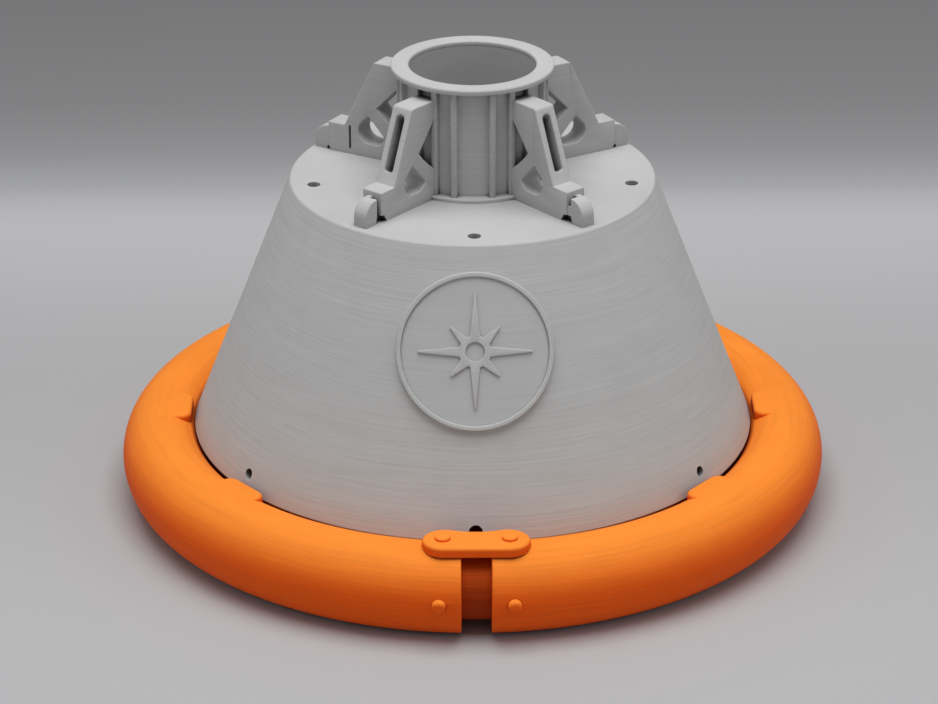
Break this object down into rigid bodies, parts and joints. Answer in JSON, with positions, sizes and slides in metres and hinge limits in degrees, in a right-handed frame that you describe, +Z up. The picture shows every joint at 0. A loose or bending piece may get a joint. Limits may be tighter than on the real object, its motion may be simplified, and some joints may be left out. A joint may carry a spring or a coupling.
{
  "type": "space capsule desk model with flotation collar",
  "caption": "Desk model of a cone-shaped crew capsule with a ribbed tunnel and slotted gussets on its flat deck, sitting in an orange flotation collar with a clasp at the front.",
  "frame": {"origin": "on the floor under the middle of the capsule's base, in the middle of the shield's flat foot", "axes": "+Z up along the axis of the cone, tunnel and collar, -Y towards the front with the emblem and the collar's clasp, +X to the right seen from the front"},
  "size_m": [0.1762, 0.1771, 0.1121],
  "materials": {
    "shell_grey": "matt printed plastic with fine level layer lines",
    "deck_grey": "matt printed plastic",
    "shield_grey": "matt printed plastic",
    "emblem_grey": "matt printed plastic",
    "collar_orange": "matt printed plastic with fine level layer lines",
    "neck_orange": "matt printed plastic"
  },
  "bodies": {
    "collar": {"collar_right": "collar_orange", "collar_left": "collar_orange", "collar_neck": "neck_orange", "knob_right": "collar_orange", "knob_left": "collar_orange"},
    "capsule": {"cone_shell": "shell_grey", "deck_plate": "deck_grey", "heat_shield": "shield_grey", "emblem": "emblem_grey", "tunnel_wall": "deck_grey", "tunnel_top_ring": "deck_grey", "tunnel_base_ring": "deck_grey", "gusset_front_right": "deck_grey", "toe_front_right": "deck_grey", "gusset_front_left": "deck_grey", "toe_front_left": "deck_grey", "gusset_back_right": "deck_grey", "toe_back_right": "deck_grey", "gusset_back_left": "deck_grey", "toe_back_left": "deck_grey"},
    "clasp": {"clasp_link": "collar_orange", "clasp_pin_right": "collar_orange", "clasp_pin_left": "collar_orange"}
  },
  "joints": [
    {"name": "capsule_lift", "type": "slide", "parent": "collar", "child": "capsule", "axis": [0, 0, 1], "range_m": [0, 0.04]},
    {"name": "clasp_lift", "type": "slide", "parent": "collar", "child": "clasp", "axis": [0, 0, 1], "range_m": [0, 0.014]}
  ]
}
